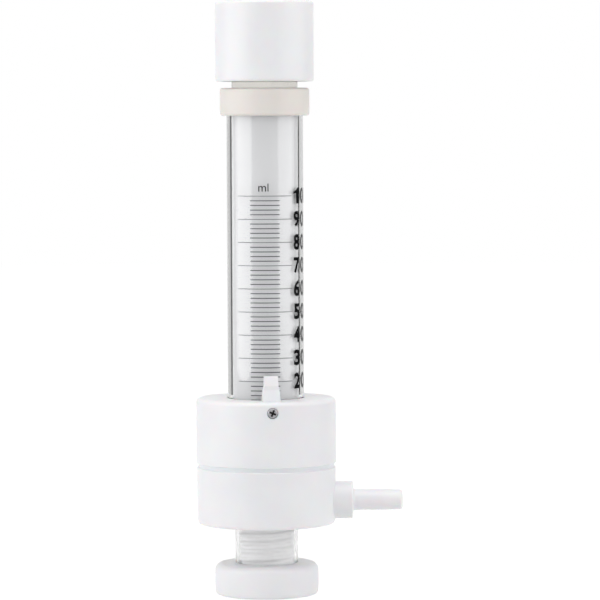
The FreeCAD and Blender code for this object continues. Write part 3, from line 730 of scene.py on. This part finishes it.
# One arm of the cross: a block that narrows towards the bottom of the recess
def crossArm(bearing):
    shape = bmesh.new()
    turn = Matrix.Rotation(math.radians(bearing), 4, "Z")
    for level, half in ((screw["headOuter"] + screw["above"], screw["recess"] / 2 + screw["wider"]),
                        (screw["headOuter"] - screw["deep"], screw["recess"] / 4)):
        for x, y in ((-half, -1), (half, -1), (half, 1), (-half, 1)):
            shape.verts.new(turn @ (Vector((x, y * screw["slot"] / 2, level)) * mm))
    shape.verts.ensure_lookup_table()
    for loop in ((3, 2, 1, 0), (4, 5, 6, 7), (0, 1, 5, 4), (1, 2, 6, 5), (2, 3, 7, 6), (3, 0, 4, 7)):
        shape.faces.new([shape.verts[index] for index in loop])
    bmesh.ops.recalc_face_normals(shape, faces=shape.faces)
    mesh = meshFrom(shape, "crossArm")
    mesh.materials.append(materials["steel"])
    mesh.materials.append(materials["recess_shade_steel"])
    # the cutter's faces become the recess walls and carry the dark steel: painted shade in the recess
    mesh.polygons.foreach_set("material_index", [1] * len(mesh.polygons))
    return link(bpy.data.objects.new("crossArm", mesh))


def makeScrew():
    outline = rounded([
        (0, screw["tip"]), (screw["shank"], screw["tip"], screw["tipEdge"]),
        (screw["shank"], screw["headInner"]), (screw["head"], screw["headInner"], screw["seatEdge"]),
        (screw["head"], screw["headOuter"], screw["fillet"]), (0, screw["headOuter"]),
    ], 8)
    blank = lathe("screw", outline, screw["sides"])
    # the second material is the dark steel that paints shade into the cross recess
    blank.materials.append(materials["steel"])
    blank.materials.append(materials["recess_shade_steel"])
    body = link(bpy.data.objects.new("screwBlank", blank))
    arms = [crossArm(screw["turned"]), crossArm(screw["turned"] + 90)]
    for arm in arms:
        modifier = body.modifiers.new("arm", "BOOLEAN")
        modifier.operation = "DIFFERENCE"
        modifier.solver = "EXACT"
        modifier.object = arm
    mesh = baked(body, "tab_screw")
    for arm in arms:
        bpy.data.objects.remove(arm)
    lay = Matrix.Translation((0, 0, screw["height"] * mm))
    lay @= Matrix.Rotation(math.radians(screw["angle"]), 4, "Z") @ Matrix.Rotation(math.radians(90), 4, "X")
    mesh.transform(lay)
    smooth(mesh)
    newPiece("tab_screw", mesh, "steel", "housing", "index_tab_screw")


makeScrew()
print("screw made")


# Outlet spring: round wire from the ball to its shoulder, along +X. keep is the share of its length that
# is left when the ball is fully open.
spring = {"start": 26.0, "end": 34.0, "radius": 2.1, "wire": 0.24, "turns": 5, "height": 47.4, "keep": 0.81,
          "turnPoints": 32, "wireSides": 12, "smooth": 40}


def springTree():
    numbers = {"Turns": 1, "Coil Radius": 0.0, "Length": 0.0, "Wire": 0.0, "Start": 0.0, "Height": 0.0}
    tree, entry = newTree("coilSpring", numbers)
    coil = addNode(tree, "GeometryNodeCurveSpiral", {
        "Resolution": spring["turnPoints"], "Rotations": entry["Turns"], "Height": entry["Length"],
        "Start Radius": entry["Coil Radius"], "End Radius": entry["Coil Radius"],
    }).outputs[0]
    circle = addNode(tree, "GeometryNodeCurvePrimitiveCircle", {
        "Resolution": spring["wireSides"], "Radius": entry["Wire"],
    })
    wire = addNode(tree, "GeometryNodeCurveToMesh", {
        "Curve": coil, "Profile Curve": circle.outputs[0], "Fill Caps": True,
    }).outputs[0]
    shift = addNode(tree, "ShaderNodeCombineXYZ", {0: entry["Start"], 2: entry["Height"]}).outputs[0]
    laid = addNode(tree, "GeometryNodeTransform", {
        "Geometry": wire, "Translation": shift, "Rotation": (0, math.pi / 2, 0),
    }).outputs[0]
    endTree(tree, entry, laid)
    return tree


def makeSpring():
    values = {"Turns": spring["turns"], "Coil Radius": spring["radius"] * mm, "Wire": spring["wire"] * mm,
              "Length": (spring["end"] - spring["start"] - 2 * spring["wire"]) * mm,
              "Start": (spring["start"] + spring["wire"]) * mm, "Height": spring["height"] * mm}
    mesh = grown("outlet_spring", springTree(), values, materials["steel"])
    smooth(mesh, spring["smooth"])
    piece = newPiece("outlet_spring", mesh, "steel", "housing", "discharge_spring")
    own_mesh(piece)


makeSpring()
print("spring made")


# Floor, world, lamps and camera. Paper and room are white where the eye, a gloss or a glass sees them,
# and give a plain level of light elsewhere. The floor lies clear of the bottle ring at its lower limit.
stage = {"radius": 4, "level": -0.0062, "paper": "F4F4F4", "glow": 1.12, "glowShare": 0.86,
         "room": 0.3, "seenRoom": 1.0}
white = (1, 1, 1, 1)


def seenDirectly(tree):
    rays = addNode(tree, "ShaderNodeLightPath").outputs
    through = maths(tree, "MAXIMUM", rays["Is Transmission Ray"], rays["Is Glossy Ray"])
    return maths(tree, "MAXIMUM", rays["Is Camera Ray"], through)


def makeFloor():
    material, tree = emptyMaterial("Studio paper")
    share = maths(tree, "MULTIPLY", seenDirectly(tree), stage["glowShare"])
    paper = addNode(tree, "ShaderNodeBsdfDiffuse", {"Color": linear(stage["paper"])}).outputs[0]
    glow = addNode(tree, "ShaderNodeEmission", {"Color": white, "Strength": stage["glow"]}).outputs[0]
    mixed = addNode(tree, "ShaderNodeMixShader", {0: share, 1: paper, 2: glow}).outputs[0]
    addNode(tree, "ShaderNodeOutputMaterial", {"Surface": mixed})
    shape = bmesh.new()
    bmesh.ops.create_circle(shape, cap_ends=True, segments=64, radius=stage["radius"])
    mesh = meshFrom(shape, "studio_floor")
    mesh.materials.append(material)
    floor = link(bpy.data.objects.new("studio_floor", mesh))
    floor.location.z = stage["level"]


# Upright cards behind the object, to the sides. The lines and screens draw the edges of the glass, and
# only a ray that has passed through something clear finds them. The flag is seen in gloss alone, and keeps
# the printed ink dark. A card spans two bearings, in degrees from straight back.
cards = {
    "left line": {"side": -1, "near": 37, "far": 48, "reach": 1.0, "tone": "080808", "seenIn": "glass"},
    "left screen": {"side": -1, "near": 3, "far": 37, "reach": 1.2, "tone": "BCBCBC", "seenIn": "glass"},
    "right line": {"side": 1, "near": 40, "far": 48, "reach": 1.0, "tone": "282828", "seenIn": "glass"},
    "right screen": {"side": 1, "near": 3, "far": 40, "reach": 1.2, "tone": "CCCCCC", "seenIn": "glass"},
    "right flag": {"side": 1, "near": 58, "far": 82, "reach": 1.0, "tone": "303030", "seenIn": "gloss"},
}
cardLevels = {"low": 0.0, "high": 0.252}


def makeCard(name, card):
    material, tree = emptyMaterial(name + " paper")
    tone = addNode(tree, "ShaderNodeEmission", {"Color": linear(card["tone"]), "Strength": 1.0}).outputs[0]
    addNode(tree, "ShaderNodeOutputMaterial", {"Surface": tone})
    ends = [(card["side"] * card["reach"] * math.sin(math.radians(bearing)),
             card["reach"] * math.cos(math.radians(bearing))) for bearing in (card["near"], card["far"])]
    low, high = cardLevels["low"], cardLevels["high"]
    corners = [(*ends[0], low), (*ends[1], low), (*ends[1], high), (*ends[0], high)]
    mesh = bpy.data.meshes.new(name)
    mesh.from_pydata(corners, [], [(0, 1, 2, 3)])
    mesh.materials.append(material)
    item = link(bpy.data.objects.new(name, mesh))
    item.visible_camera = False
    item.visible_diffuse = False
    item.visible_shadow = False
    item.visible_glossy = card["seenIn"] == "gloss"
    item.visible_transmission = card["seenIn"] == "glass"


def makeWorld():
    world = bpy.data.worlds.new("studio")
    world.use_nodes = True
    bpy.context.scene.world = world
    tree = world.node_tree
    tree.nodes.clear()
    room = addNode(tree, "ShaderNodeBackground", {"Color": white, "Strength": stage["room"]}).outputs[0]
    seen = addNode(tree, "ShaderNodeBackground", {"Color": white, "Strength": stage["seenRoom"]}).outputs[0]
    mixed = addNode(tree, "ShaderNodeMixShader", {0: seenDirectly(tree), 1: room, 2: seen}).outputs[0]
    addNode(tree, "ShaderNodeOutputWorld", {"Surface": mixed})


# The lamps face the object's middle. The back one lights the far side alone: neither the eye, a gloss nor
# a glass sees it.
lamps = {
    "left softbox": {"place": (-1.4, -0.5, 0.3), "side": 1.6, "power": 16.0, "seen": True},
    "right softbox": {"place": (1.4, -0.5, 0.3), "side": 1.6, "power": 12.0, "seen": True},
    "top softbox": {"place": (0.0, -0.3, 1.5), "side": 1.4, "power": 13.5, "seen": True},
    "back softbox": {"place": (0.0, 1.6, 0.5), "side": 1.6, "power": 4.5, "seen": False},
}


def makeLamp(name, lamp):
    light = bpy.data.lights.new(name, "AREA")
    light.size = lamp["side"]
    light.energy = lamp["power"]
    item = link(bpy.data.objects.new(name, light))
    item.location = lamp["place"]
    item.visible_camera = lamp["seen"]
    item.visible_glossy = lamp["seen"]
    item.visible_transmission = lamp["seen"]
    middle = Vector((0, 0, cadBox[1][2] / 2))
    item.rotation_euler = (middle - Vector(lamp["place"])).to_track_quat("-Z", "Y").to_euler()


camera = {"place": (0.0173, -1.8, 0.244), "aim": (0.0173, 0, 0.1482), "lens": 215.2, "roll": -0.25,
          "sensor": 36, "sight": 20}


def makeCamera():
    data = bpy.data.cameras.new("camera")
    data.lens = camera["lens"]
    data.sensor_width = camera["sensor"]
    data.clip_end = camera["sight"]
    item = link(bpy.data.objects.new("camera", data))
    item.location = camera["place"]
    turn = (Vector(camera["aim"]) - Vector(camera["place"])).to_track_quat("-Z", "Y").to_matrix().to_4x4()
    turn @= Matrix.Rotation(math.radians(camera["roll"]), 4, "Z")
    item.rotation_euler = turn.to_euler()
    bpy.context.scene.camera = item


makeFloor()
for name, card in cards.items():
    makeCard(name, card)
makeWorld()
for name, lamp in lamps.items():
    makeLamp(name, lamp)
makeCamera()
bpy.context.scene.view_settings.view_transform = "Standard"
bpy.context.scene.view_settings.look = "None"
print("stage made")
